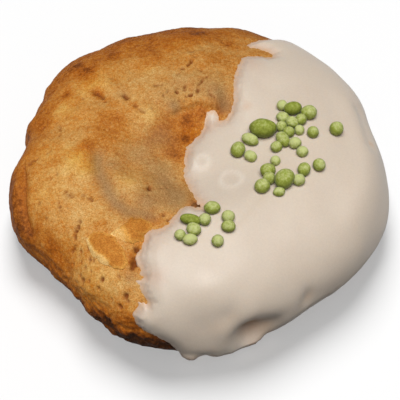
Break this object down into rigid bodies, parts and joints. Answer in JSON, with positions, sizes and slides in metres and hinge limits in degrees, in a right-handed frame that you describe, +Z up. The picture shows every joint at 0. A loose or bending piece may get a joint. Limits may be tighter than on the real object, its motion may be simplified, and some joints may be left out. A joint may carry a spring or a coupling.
{
  "type": "lemon filled cookie",
  "caption": "Thick soft filled cookie with a hollow in its top, white chocolate chunks baked in, and icing over one half sprinkled with green sugar pearls.",
  "frame": {"origin": "middle of the base's bounding box, on the surface the cookie rests on", "axes": "+Z up, out of the top; the bare half lies towards -X and the iced half towards +X, with the icing's run and pool at the front, towards -Y"},
  "size_m": [0.0896, 0.0912, 0.0283],
  "materials": {
    "crust": "matte, baked and speckled",
    "icing": "satin, set icing",
    "white_chocolate": "satin, toasted",
    "sugar_pearls": "satin sugar shell"
  },
  "bodies": {
    "root": {"cookie": "crust", "icing": "icing", "white_chocolate_chunk_1": "white_chocolate", "white_chocolate_chunk_2": "white_chocolate"}
  },
  "joints": []
}
